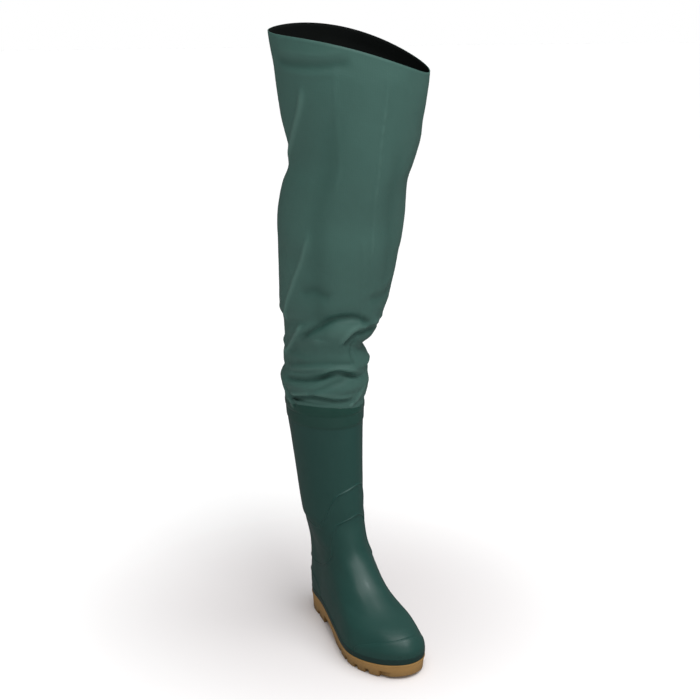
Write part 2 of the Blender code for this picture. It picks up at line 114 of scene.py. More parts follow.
# Sections of the shaft: rise, middle as a share of the foot's length, sway as a share of the
# ball's width, depth and width as shares of the calf's
SHAFT_ROWS = (
    (1.165, 0.206, -0.090, 0.881, 0.768),
    (1.252, 0.193, -0.100, 0.894, 0.790),
    (1.470, 0.165, -0.108, 0.927, 0.850),
    (1.687, 0.143, -0.118, 0.960, 0.915),
    (1.822, 0.132, -0.126, 0.980, 0.965),
    (2.000, 0.125, -0.130, 1.000, 1.000),
)

# Grooves in the tread: place along the foot, distance from the centre line as a share of the
# ball's width, turn in degrees, length as a share of the ball's width
GROOVES = (
    (0.105, 0.61, 86.0, 1.00), (0.105, -0.61, 94.0, 1.00),
    (0.200, 0.61, 86.0, 1.00), (0.200, -0.61, 94.0, 1.00),
    (0.600, 0.61, 100.0, 1.00), (0.600, -0.61, 80.0, 1.00),
    (0.695, 0.61, 98.0, 1.00), (0.695, -0.61, 82.0, 1.00),
    (0.785, 0.61, 94.0, 1.00), (0.785, -0.61, 86.0, 1.00),
    (0.865, 0.61, 84.0, 1.00), (0.865, -0.61, 96.0, 1.00),
    (0.965, -0.24, 28.0, 0.30), (0.950, 0.36, -24.0, 0.22),
)


def linear(colour):
    """A linear colour from an sRGB hex value."""
    parts = [int(colour[i:i + 2], 16) / 255.0 for i in (1, 3, 5)]
    return (*[p / 12.92 if p <= 0.04045 else ((p + 0.055) / 1.055) ** 2.4 for p in parts], 1.0)


def node(tree, kind, inputs=None, **settings):
    """Add a shader node. Inputs go from a socket's name or number to a value or to an output."""
    made = tree.nodes.new(kind)
    for name, value in settings.items():
        setattr(made, name, value)
    for socket, value in (inputs or {}).items():
        if isinstance(value, bpy.types.NodeSocket):
            tree.links.new(value, made.inputs[socket])
        else:
            made.inputs[socket].default_value = value
    return made


def finish(name, **sockets):
    """A new material with its shader's own sockets set: it, its nodes, shader and coordinates."""
    made = bpy.data.materials.new(name)
    made.use_nodes = True
    tree = made.node_tree
    shader = tree.nodes["Principled BSDF"]
    for socket, value in sockets.items():
        shader.inputs[socket.replace("_", " ")].default_value = value
    return made, tree, shader, node(tree, "ShaderNodeTexCoord").outputs["Object"]


def smooth(share):
    """A ramp from 0 to 1 with level ends."""
    held = np.clip(share, 0.0, 1.0)
    return held * held * (3.0 - 2.0 * held)


def blend_four(p0, p1, p2, p3, f):
    """A smooth curve from p1 to p2 that knows its neighbours."""
    cubic = 3.0 * (p1 - p2) + p3 - p0
    return p1 + 0.5 * f * (p2 - p0 + f * (2.0 * p0 - 5.0 * p1 + 4.0 * p2 - p3 + f * cubic))


def between(values, t):
    """A smooth curve through evenly numbered values, read at the places t."""
    values = np.asarray(values, dtype=float)
    t = np.asarray(t, dtype=float)
    last = len(values) - 1
    first = np.clip(np.floor(t).astype(int), 0, last - 1)
    f = (t - first).reshape(t.shape + (1,) * (values.ndim - 1))
    return blend_four(values[np.maximum(first - 1, 0)], values[first], values[first + 1],
                      values[np.minimum(first + 2, last)], f)


def round_curve(knots, turn):
    """A smooth closed curve through the knots, read at turns in degrees from the back."""
    many = knots.shape[-2]
    place = (turn % 360.0) / 360.0 * many
    k = np.floor(place).astype(int)
    window = [np.take_along_axis(knots, ((k + shift) % many)[..., None, None], axis=-2)[..., 0, :]
              for shift in (-1, 0, 1, 2)]
    return blend_four(*window, (place - k)[..., None])


def last_centre(x):
    """How far the last curves inwards at a place along the foot."""
    shares, shifts = zip(*LAST_CURVE)
    return np.interp(x / FOOT_LENGTH, shares, shifts) * BALL_WIDTH


def feather_height(x):
    """Height of the line where upper and sole meet, x from the back of the heel."""
    share = x / FOOT_LENGTH
    spring = np.maximum(share - SPRING_START, 0.0) / SPRING_LENGTH
    fall = smooth((share - FALL_START) / FALL_LENGTH)
    return HEEL_HEIGHT + (FOREFOOT_HEIGHT - HEEL_HEIGHT) * fall + TOE_SPRING * spring ** 2


def tread_height(x):
    """Height of the tread, level up to the ball and rising to the toe."""
    return TOE_SPRING * (np.maximum(x / FOOT_LENGTH - TREAD_START, 0.0) / TREAD_LENGTH) ** 2


def station_knots(back, front, sway, rises, halves):
    """Twelve knots of one section, the third value being the height over the feather line."""
    knots = []
    for k in range(12):
        share = (1.0 - math.cos(math.pi * k / 6.0)) / 2.0
        x = back + (front - back) * share
        side = 0.0 if k in (0, 6) else (-1.0 if k < 6 else 1.0)
        half = halves[min(k, 12 - k) - 1] if side else 0.0
        rise = rises[0] + (rises[1] - rises[0]) * min(share, 0.5) * 2.0
        rise += (rises[2] - rises[1]) * max(share - 0.5, 0.0) * 2.0
        lift = INSTEP_HEIGHT * min(rise, 1.0) + SHAFT_HEIGHT * max(rise - 1.0, 0.0)
        knots.append((x, last_centre(x) + sway + side * half, lift))
    return knots


def boot_sections():
    """Rises and knots of all sections of foot and shaft."""
    rises, sections = [], []
    for row in FOOT_ROWS:
        rises.append(row[0])
        sections.append(station_knots(row[3] * FOOT_LENGTH, row[4] * FOOT_LENGTH, row[5] * BALL_WIDTH,
                                      row[:3], [share * BALL_WIDTH for share in row[6:]]))
    for rise, middle, sway, depth, width in SHAFT_ROWS:
        half_depth, half_width = depth * CALF_DEPTH / 2.0, width * CALF_WIDTH / 2.0
        rises.append(rise)
        sections.append(station_knots(middle * FOOT_LENGTH - half_depth, middle * FOOT_LENGTH + half_depth,
                                      sway * BALL_WIDTH, (rise,) * 3,
                                      [half_width * math.sin(math.pi * k / 6.0) for k in range(1, 6)]))
    return rises, np.array(sections)


RISES, SECTIONS = boot_sections()


def boot_points(rise, turn):
    """Points of the boot's plain outer surface."""
    points = round_curve(between(SECTIONS, np.interp(rise, RISES, range(len(RISES)))), turn)
    level = smooth((rise - LEVEL_START) / LEVEL_LENGTH)
    points[..., 2] += level * HEEL_HEIGHT + (1.0 - level) * feather_height(points[..., 0])
    return points


def spread(ring, distance):
    """A ring moved outwards, square to its outline seen from above."""
    along = np.roll(ring, -1, axis=0) - np.roll(ring, 1, axis=0)
    normal = np.stack([along[:, 1], -along[:, 0], np.zeros(len(ring))], axis=1)
    return ring + normal / np.linalg.norm(normal, axis=1, keepdims=True) * distance


def placed(name, bm, materials):
    """Put a mesh into the scene, moved so that the origin lies under the heel."""
    bmesh.ops.translate(bm, verts=bm.verts, vec=(-HEEL_REST, 0.0, 0.0))
    mesh = bpy.data.meshes.new(name)
    bm.to_mesh(mesh)
    bm.free()
    mesh.shade_smooth()
    for material in materials:
        mesh.materials.append(material)
    piece = bpy.data.objects.new(name, mesh)
    bpy.context.scene.collection.objects.link(piece)
    return piece


def sole_block():
    """The sole as a stack of outlines from tread to lip, closed by strips across."""
    outline = boot_points(np.zeros(SOLE_POINTS), np.arange(SOLE_POINTS) * 360.0 / SOLE_POINTS)
    feather = feather_height(outline[:, 0])
    tread = tread_height(outline[:, 0])
    proud = SOLE_LIP + STEP
    levels = [(proud - SOLE_DRAFT, tread), (proud - MIDDLE_DRAFT, tread + SOLE_MIDDLE * (feather - tread))]
    levels += [(proud - inside, feather - SOLE_EDGE + over) for inside, over in LIP_FOOT]
    levels += [(proud - inside, feather - under) for inside, under in LIP_TOP]
    bm = bmesh.new()
    made = bmesh.ops.create_circle(bm, segments=SOLE_POINTS, radius=1.0, cap_ends=False)
    loop = sorted(made["verts"], key=lambda v: math.atan2(v.co.y, -v.co.x) % (2.0 * math.pi))
    loop = [loop[0]] + loop[:0:-1]
    rings = []
    for distance, heights in levels:
        ring = spread(outline, distance)
        ring[:, 2] = heights
        if rings:
            last = set(rings[-1])
            edges = [e for e in bm.edges if all(v in last for v in e.verts)]
            grown = bmesh.ops.extrude_edge_only(bm, edges=edges)["geom"]
            fresh = [v for v in grown if isinstance(v, bmesh.types.BMVert)]
            near = {tuple(round(c, 7) for c in v.co): v for v in fresh}
            loop = [near[tuple(round(c, 7) for c in v.co)] for v in loop]
        for vertex, point in zip(loop, ring):
            vertex.co = point
        rings.append(loop)
    half = SOLE_POINTS // 2
    for loop in (rings[0], rings[-1]):
        sides = []
        for lane in (loop[1:half], loop[half + 1:]):
            pairs = [{a, b} for a, b in zip(lane, lane[1:])]
            sides += [e for v in lane for e in v.link_edges if set(e.verts) in pairs]
        bmesh.ops.bridge_loops(bm, edges=list(dict.fromkeys(sides)))
        for end in (0, half):
            bm.faces.new((loop[end], loop[(end + 1) % SOLE_POINTS], loop[end - 1]))
    bmesh.ops.recalc_face_normals(bm, faces=bm.faces)
    return bm


def groove_tool():
    """Boxes that cut the tread's edge into lugs."""
    bm = bmesh.new()
    for share, aside, turn, length in GROOVES:
        x = share * FOOT_LENGTH
        top = tread_height(x) + LUG_DEPTH
        cut = bmesh.ops.create_cube(bm, size=1.0)["verts"]
        bmesh.ops.scale(bm, vec=(length * BALL_WIDTH, GROOVE, top + CUT_BELOW), verts=cut)
        bmesh.ops.rotate(bm, matrix=Matrix.Rotation(math.radians(turn), 3, "Z"), verts=cut)
        place = (x, last_centre(x) + aside * BALL_WIDTH, (top - CUT_BELOW) / 2.0)
        bmesh.ops.translate(bm, vec=place, verts=cut)
    return placed("groove_tool", bm, [])


def arch_tool():
    """The block that hollows the arch: its side, drawn out across the sole."""
    length = ARCH_END - HEEL_LENGTH
    ceiling = [(HEEL_LENGTH + share * length, height * ARCH_CLEARANCE) for share, height in ARCH_PROFILE]
    corners = [(HEEL_LENGTH, -CUT_BELOW)] + ceiling + [(HEEL_LENGTH + length, -CUT_BELOW)]
    bm = bmesh.new()
    side = bm.faces.new([bm.verts.new((x, -BALL_WIDTH, z)) for x, z in corners])
    grown = bmesh.ops.extrude_face_region(bm, geom=[side])["geom"]
    bmesh.ops.translate(bm, vec=(0.0, 2.0 * BALL_WIDTH, 0.0),
                        verts=[v for v in grown if isinstance(v, bmesh.types.BMVert)])
    bmesh.ops.recalc_face_normals(bm, faces=bm.faces)
    return placed("arch_tool", bm, [])


# Tan PVC, moulded: dull and slightly mottled, darker towards the floor in its lower half, and with a fine
# rough skin
DARKER_UNDER = 0.016
tread_pvc, tree, shader, where = finish("tan_moulded_pvc", Roughness=0.58, IOR=1.53, Specular_IOR_Level=0.3)
mottle = node(tree, "ShaderNodeTexNoise", {"Vector": where, "Scale": 38.0, "Detail": 5.0, "Roughness": 0.6})
speck = node(tree, "ShaderNodeTexNoise", {"Vector": where, "Scale": 420.0, "Detail": 3.0, "Roughness": 0.7})
height = node(tree, "ShaderNodeSeparateXYZ", {"Vector": where}).outputs["Z"]
# Darker towards the floor under the given height
low = node(tree, "ShaderNodeMapRange", {"Value": height, "From Max": DARKER_UNDER, "To Min": 0.55, "To Max": 0.0})
tan = node(tree, "ShaderNodeMix", {0: mottle.outputs["Fac"], 6: linear("#95723E"), 7: linear("#A9824A")},
           data_type="RGBA")
darker_low = node(tree, "ShaderNodeMix", {0: low.outputs["Result"], 6: tan.outputs[2], 7: linear("#5C4A30")},
             data_type="RGBA")
tree.links.new(darker_low.outputs[2], shader.inputs["Base Color"])
skin = node(tree, "ShaderNodeBump", {"Height": speck.outputs["Fac"], "Strength": 0.35, "Distance": 0.0004})
tree.links.new(skin.outputs["Normal"], shader.inputs["Normal"])

sole = placed("tread_sole", sole_block(), [tread_pvc])
for tool in (arch_tool(), groove_tool()):
    cut = sole.modifiers.new(tool.name, "BOOLEAN")
    cut.operation = "DIFFERENCE"
    cut.solver = "EXACT"
    cut.object = tool
    bpy.context.view_layer.update()
    shaped = bpy.data.meshes.new_from_object(sole.evaluated_get(bpy.context.evaluated_depsgraph_get()))
    sole.modifiers.clear()
    sole.data = shaped
    bpy.data.objects.remove(tool, do_unlink=True)
bm = bmesh.new()
bm.from_mesh(sole.data)
bmesh.ops.remove_doubles(bm, verts=bm.verts, dist=DOUBLES)
bmesh.ops.dissolve_degenerate(bm, edges=bm.edges, dist=SLIVERS)
bmesh.ops.recalc_face_normals(bm, faces=bm.faces)
bm.to_mesh(sole.data)
bm.free()
round_edges = sole.modifiers.new("round_edges", "BEVEL")
round_edges.affect = "EDGES"
round_edges.profile = 0.5
round_edges.material = -1
round_edges.width = EDGE_RADIUS
round_edges.segments = 2
round_edges.limit_method = "ANGLE"
round_edges.angle_limit = ROUNDED_ANGLE
sole.data.shade_smooth()
sole.data.set_sharp_from_angle(angle=SHARP_ANGLE)
even = sole.modifiers.new("even_normals", "WEIGHTED_NORMAL")
even.keep_sharp = True
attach(sole, "root")
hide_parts("outsole")


# Footbed: a thin felt board laid on the sole inside the boot. Only a glimpse of it can be had
# down the leg, as a dark fibrous floor.
felt, tree, shader, where = finish("dark_needled_felt", Roughness=0.92, Specular_IOR_Level=0.2)
fibre = node(tree, "ShaderNodeTexNoise", {"Vector": where, "Scale": 900.0, "Detail": 4.0, "Roughness": 0.8})
tuft = node(tree, "ShaderNodeTexNoise", {"Vector": where, "Scale": 60.0, "Detail": 2.0})
shade = node(tree, "ShaderNodeMix", {0: tuft.outputs["Fac"], 6: linear("#171A19"), 7: linear("#262B2A")},
             data_type="RGBA")
tree.links.new(shade.outputs[2], shader.inputs["Base Color"])
pile = node(tree, "ShaderNodeBump", {"Height": fibre.outputs["Fac"], "Strength": 0.6, "Distance": 0.0006})
tree.links.new(pile.outputs["Normal"], shader.inputs["Normal"])
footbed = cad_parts["insole"]
for slot in footbed.material_slots:
    slot.material = felt


# Boot: green PVC moulded in one shell over the last. A rand runs round the foot, a cap covers the
# toe, a raised panel holds ankle and heel, and a thicker band under the top carries the weld.
BOOT_WALL = 0.0024
WELD_HEIGHT = 0.019
COLLAR_BAND = 0.021
GAP = 0.0003
SEAM = 0.00001
RAND_RISE = 0.080
EDGE = 0.0040
SHARP_EDGE = 0.0008
RIB = 0.0055
BOOT_COLUMNS = 160
BOOT_MESH_ROWS = (6, 3, 90, 8, 40, 8, 34, 3, 10, 1, 7)

# How far the raised parts stand out, as shares of STEP, and the band's ramp in widths of EDGE
PANEL_STEP = 0.5
RIB_STEP = 1.1
COLLAR_STEP = 1.4
COLLAR_RAMP = 6.0

# The moulded wall's slight waves: depth and size, and the rises over which they fade out under the
# band and above the sole
WAVE_DEPTH = 0.0005
WAVE_SIZE = 0.045
CALM_UNDER_BAND = 0.25
CALM_START, CALM_LENGTH = 0.1, 0.15

# Lower and upper edge of the ankle panel: turn in degrees from the back, then rise
PANEL_LOW = ((0, 0.598), (30, 0.570), (51, 0.555), (70, 0.620), (87, 0.720), (105, 0.880), (123, 1.030),
             (140, 1.110), (154, 1.160), (165, 1.190), (180, 1.212), (197, 1.232), (210, 1.230),
             (223, 1.180), (238, 1.070), (255, 0.900), (273, 0.720), (290, 0.620), (309, 0.555),
             (330, 0.570), (360, 0.598))
PANEL_HIGH = ((0, 1.122), (60, 1.112), (100, 1.108), (117, 1.120), (135, 1.190), (147, 1.285), (155, 1.360),
              (166, 1.385), (195, 1.420), (212, 1.430), (224, 1.400), (236, 1.320), (250, 1.210),
              (266, 1.130), (300, 1.112), (360, 1.122))

# Toe cap: how far its edge reaches, how it curves back to the sides, its middle line, the ramp at
# its edge, the rise it ends at, and the half width of the fine lip that the skin shows there
TOE_CAP_FRONT = 0.286
TOE_CAP_CURVE = 14.5
TOE_CAP_MIDDLE = 0.005
TOE_CAP_RAMP = 0.0035
TOE_CAP_TOP = 0.6
TOE_CAP_LIP = 0.0007

# Pebbles on the toe: where they fade in along the foot, and the heights under which they do
PEBBLES_FROM = (0.236, 0.244)
PEBBLES_UNDER = (0.040, 0.036)

# Heel counter: centre, half length and height of the rounded rib round the heel, then how far the
# rib and the field inside it stand out and how soft they are
COUNTER_MIDDLE = -0.040
COUNTER_LENGTH = 0.112
COUNTER_HEIGHT = 0.070
COUNTER_RIB, COUNTER_RIB_WIDTH = 1.3, 0.020
COUNTER_FIELD, COUNTER_FIELD_RAMP = 0.35, 0.03


def outward(points):
    """Unit normals of a tube's surface, whose last column repeats its first."""
    ring = points[:, :-1]
    along = np.roll(ring, -1, axis=1) - np.roll(ring, 1, axis=1)
    normal = np.cross(along, np.gradient(ring, axis=0))
    normal /= np.linalg.norm(normal, axis=2, keepdims=True)
    return np.concatenate([normal, normal[:, :1]], axis=1)


def steps(levels, counts):
    """Values from level to level, with as many even steps between each two as counts says."""
    runs = [low + (high - low) * np.arange(count)[:, None] / count
            for low, high, count in zip(levels, levels[1:], counts)]
    return np.concatenate(runs + [levels[-1][None]])


def sleeve(name, points, wall, masks, materials):
    """A hollow tube: a grid bent round to the points of its outer surface, given a wall inwards.
    Its materials are those of the outside, the inside and the cut edges, or one for all."""
    rows, columns = points.shape[0] - 1, points.shape[1] - 1
    bm = bmesh.new()
    bm.loops.layers.uv.new("UVMap")
    bmesh.ops.create_grid(bm, x_segments=columns, y_segments=rows, size=0.5, calc_uvs=True)
    layers = [(bm.verts.layers.float.new(key), mask) for key, mask in masks.items()]
    for vertex in bm.verts:
        column = round((vertex.co.x + 0.5) * columns)
        row = round((vertex.co.y + 0.5) * rows)
        vertex.co = points[row, column]
        for layer, mask in layers:
            vertex[layer] = mask[row, column]
    bmesh.ops.remove_doubles(bm, verts=bm.verts, dist=SEAM)
    bmesh.ops.recalc_face_normals(bm, faces=bm.faces)
    piece = placed(name, bm, materials)
    shell = piece.modifiers.new("wall", "SOLIDIFY")
    shell.thickness = wall
    shell.offset = -1.0
    shell.material_offset = min(1, len(materials) - 1)
    shell.material_offset_rim = len(materials) - 1
    return piece


def rise_at(height):
    """The rise of a height above the floor, on the shaft."""
    return 1.0 + (height - HEEL_HEIGHT - INSTEP_HEIGHT) / SHAFT_HEIGHT


def ramp(value, edge, half_width):
    """A soft step from 0 to 1 as a value passes an edge."""
    return smooth((value - edge + half_width) / (2.0 * half_width))


def panel_edge(turn, corners):
    """An edge of the ankle panel, its corners rounded by an average over nine columns."""
    plain = np.interp(turn, *zip(*corners))
    return np.convolve(np.concatenate([plain[-5:-1], plain, plain[1:5]]), np.ones(9) / 9.0, "valid")


def boot_shell():
    """Outer surface of the boot and the masks that its material reads."""
    turn = np.arange(BOOT_COLUMNS + 1) * 360.0 / BOOT_COLUMNS
    low, high = panel_edge(turn, PANEL_LOW), panel_edge(turn, PANEL_HIGH)
    band = rise_at(BOOT_HEIGHT - WELD_HEIGHT - COLLAR_BAND)
    weld = rise_at(BOOT_HEIGHT - WELD_HEIGHT - GAP)
    flat = np.ones_like(turn)
    levels = (0.0 * flat, (RAND_RISE - EDGE) * flat, (RAND_RISE + EDGE) * flat,
              low - 2.0 * RIB, low + 2.0 * RIB, high - 2.0 * RIB, high + 2.0 * RIB,
              (band - EDGE) * flat, (band + EDGE) * flat,
              (weld - SHARP_EDGE) * flat, (weld + SHARP_EDGE) * flat, 2.0 * flat)
    rise = steps(levels, BOOT_MESH_ROWS)
    turns = np.broadcast_to(turn, rise.shape)
    points = boot_points(rise, turns)
    x, y, z = points[..., 0], points[..., 1], points[..., 2]
    rand = ramp(RAND_RISE, rise, EDGE)
    cap_edge = TOE_CAP_FRONT - TOE_CAP_CURVE * (y - TOE_CAP_MIDDLE) ** 2
    cap = smooth((x - cap_edge) / TOE_CAP_RAMP) * (rise < TOE_CAP_TOP)
    panel = ramp(rise, low, EDGE) * ramp(high, rise, EDGE)
    collar = smooth((rise - band + EDGE) / (COLLAR_RAMP * EDGE)) * ramp(weld, rise, SHARP_EDGE)
    reach = (np.abs((x - COUNTER_MIDDLE) / COUNTER_LENGTH) ** 4 + np.abs(z / COUNTER_HEIGHT) ** 4) ** 0.25
    counter = COUNTER_RIB * np.exp(-((reach - 1.0) / COUNTER_RIB_WIDTH) ** 2)
    counter += COUNTER_FIELD * smooth((1.0 - reach) / COUNTER_FIELD_RAMP)
    ribs = np.exp(-((rise - low) / RIB) ** 2) + np.exp(-((rise - high) / RIB) ** 2)
    raised = np.maximum.reduce([rand, cap, PANEL_STEP * panel, COLLAR_STEP * collar, counter])
    calm = smooth((band - rise) / CALM_UNDER_BAND) * smooth((rise - CALM_START) / CALM_LENGTH)
    wave = np.array([[noise.noise(Vector(p) / WAVE_SIZE) for p in row] for row in points])
    out = STEP * (raised + RIB_STEP * ribs) + WAVE_DEPTH * calm * wave
    masks = {"rand": rand, "collar": ramp(rise, band, EDGE)}
    return points + outward(points) * out[..., None], masks


# Green moulded PVC: a satin skin with soft broad highlights, a darker rand and band, faint
# mottling where the mould was wiped, and shallow pebbles about 2.2 mm apart low on the toe
boot_pvc, tree, shader, where = finish("green_moulded_pvc", IOR=1.53, Specular_IOR_Level=0.40,
                                       Coat_Weight=0.15, Coat_Roughness=0.22)
rand = node(tree, "ShaderNodeAttribute", attribute_name="rand").outputs["Fac"]
collar = node(tree, "ShaderNodeAttribute", attribute_name="collar").outputs["Fac"]
mottle = node(tree, "ShaderNodeTexNoise", {"Vector": where, "Scale": 16.0, "Detail": 6.0, "Roughness": 0.62})
grain = node(tree, "ShaderNodeTexNoise", {"Vector": where, "Scale": 700.0, "Detail": 3.0, "Roughness": 0.6})
pebble = node(tree, "ShaderNodeTexVoronoi", {"Vector": where, "Scale": 460.0, "Randomness": 0.6})
green = node(tree, "ShaderNodeMix", {0: mottle.outputs["Fac"], 6: linear("#143E38"), 7: linear("#1B4740")},
             data_type="RGBA")
welded = node(tree, "ShaderNodeMath", {0: collar, 1: 0.7}, operation="MULTIPLY")
deep = node(tree, "ShaderNodeMix", {0: welded.outputs[0], 6: green.outputs[2], 7: linear("#134036")},
            data_type="RGBA")
dark = node(tree, "ShaderNodeMix", {0: rand, 6: deep.outputs[2], 7: linear("#10342F")}, data_type="RGBA")
tree.links.new(dark.outputs[2], shader.inputs["Base Color"])
worn = node(tree, "ShaderNodeMapRange", {"Value": mottle.outputs["Fac"], "From Min": 0.3, "From Max": 0.7,
                                         "To Min": 0.42, "To Max": 0.54})
tree.links.new(worn.outputs["Result"], shader.inputs["Roughness"])
spot = node(tree, "ShaderNodeSeparateXYZ", {"Vector": where})
toe = node(tree, "ShaderNodeMapRange", {"Value": spot.outputs["X"], "From Min": PEBBLES_FROM[0],
                                        "From Max": PEBBLES_FROM[1]})
under = node(tree, "ShaderNodeMapRange", {"Value": spot.outputs["Z"], "From Min": PEBBLES_UNDER[0],
                                          "From Max": PEBBLES_UNDER[1]})
patch = node(tree, "ShaderNodeMath", {0: toe.outputs["Result"], 1: under.outputs["Result"]},
             operation="MULTIPLY")
pebbles = node(tree, "ShaderNodeMath", {0: patch.outputs[0], 1: pebble.outputs["Distance"]},
               operation="MULTIPLY")
aside = node(tree, "ShaderNodeMath", {0: spot.outputs["Y"], 1: TOE_CAP_MIDDLE}, operation="SUBTRACT")
bow = node(tree, "ShaderNodeMath", {0: aside.outputs[0], 1: 2.0}, operation="POWER")
edge_at = node(tree, "ShaderNodeMath", {0: bow.outputs[0], 1: TOE_CAP_CURVE, 2: spot.outputs["X"]},
               operation="MULTIPLY_ADD")
cap_at = TOE_CAP_FRONT - HEEL_REST
cap = node(tree, "ShaderNodeMapRange", {"Value": edge_at.outputs[0], "From Min": cap_at - TOE_CAP_LIP,
                                        "From Max": cap_at + TOE_CAP_LIP}, interpolation_type="SMOOTHSTEP")
lip = node(tree, "ShaderNodeBump", {"Height": cap.outputs["Result"], "Strength": 0.7, "Distance": STEP})
stipple = node(tree, "ShaderNodeBump", {"Height": grain.outputs["Fac"], "Strength": 0.18, "Distance": 0.0003,
                                         "Normal": lip.outputs["Normal"]})
studs = node(tree, "ShaderNodeBump", {"Height": pebbles.outputs[0], "Strength": 0.8, "Distance": 0.0006,
                                      "Normal": stipple.outputs["Normal"]}, invert=True)
tree.links.new(studs.outputs["Normal"], shader.inputs["Normal"])

points, masks = boot_shell()
boot = sleeve("moulded_boot", points, BOOT_WALL, masks, [boot_pvc])
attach(boot, "root")
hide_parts("boot_upper")


# Leg: a tube of thin coated fabric, welded over the boot's top and cut to a slanted collar. It
# stands by its own stiffness and sinks into folds at the ankle and the knee.
COLLAR_HEIGHT = 0.884
COLLAR_OUTER_RISE = 0.036
COLLAR_INNER_RISE = -0.019
COLLAR_BACK_RISE = 0.043
COLLAR_FRONT_RISE = 0.010
COLLAR_SADDLE_TURN = math.radians(-9.0)
COLLAR_TWIST = math.radians(12.5)
THIGH_DEPTH = 0.186
THIGH_WIDTH = 0.240
LEG_WALL = 0.0011
LEG_LENGTH = COLLAR_HEIGHT - BOOT_HEIGHT

# The leg's mesh: columns round it, rows in the lap on the boot, the folded part and the upper part,
# and the share where the folded part ends
LEG_COLUMNS = 220
LEG_MESH_ROWS = (10, 108, 80)
FOLDED_SHARE = 0.34

# The cloth comes free of the boot over these shares, then waves a little: everywhere by LIMP, and
# more by LIMP_LOW under the given share
FREE_UNDER, FREE_LENGTH = 0.042, 0.030
LIMP = 0.0010
LIMP_LOW = 0.0008
LIMP_UNDER, LIMP_LENGTH = 0.36, 0.2
LIMP_FROM_WELD = 0.04
LIMP_SIZE = 0.052
LIMP_FINE_SIZE, LIMP_FINE = 0.019, 0.35

# Sections of the leg: rise, middle, sway, depth and width from the calf's size to the thigh's, and
# how flat the leg is pressed along its side creases
LEG_ROWS = (
    (0.000, 0.125, -0.130, 0.00, 0.000, 1.00),
    (0.040, 0.122, -0.135, 0.44, 0.098, 1.00),
    (0.073, 0.117, -0.118, 0.36, 0.038, 1.00),
    (0.105, 0.115, -0.095, 0.47, 0.048, 1.00),
    (0.158, 0.108, -0.105, 0.50, -0.021, 1.00),
    (0.212, 0.135, -0.066, 0.60, 0.167, 1.02),
    (0.300, 0.150, -0.020, 0.50, 0.385, 1.04),
    (0.450, 0.180, 0.017, 0.81, 0.514, 1.06),
    (0.535, 0.190, 0.035, 0.84, 0.583, 1.08),
    (0.630, 0.207, 0.068, 1.00, 0.548, 1.10),
    (0.700, 0.225, 0.118, 1.00, 0.534, 1.12),
    (0.805, 0.237, 0.125, 0.81, 0.722, 1.20),
    (0.920, 0.243, 0.122, 0.74, 0.861, 1.22),
    (1.000, 0.235, 0.116, 0.66, 0.975, 1.24),
)

# Large folds: height, middle in degrees, half span in degrees, climb, half width, and depth as a
# share of the thigh's depth
FOLD_ROWS = (
    (0.030, 150.0, 120.0, 0.004, 0.012, 0.013),
    (0.088, 150.0, 115.0, 0.006, 0.013, 0.022),
    (0.130, 115.0, 60.0, -0.012, 0.012, -0.010),
    (0.165, 222.0, 52.0, -0.018, 0.020, 0.048),
    (0.250, 125.0, 75.0, 0.034, 0.020, 0.024),
    (0.170, 10.0, 60.0, 0.010, 0.020, 0.030),
    (0.245, 335.0, 60.0, -0.020, 0.022, 0.022),
    (0.430, 115.0, 42.0, -0.030, 0.034, 0.012),
    (0.690, 66.0, 34.0, 0.020, 0.060, 0.046),
    (0.660, 246.0, 30.0, 0.010, 0.040, 0.014),
    (0.560, 300.0, 50.0, 0.030, 0.040, 0.018),
)

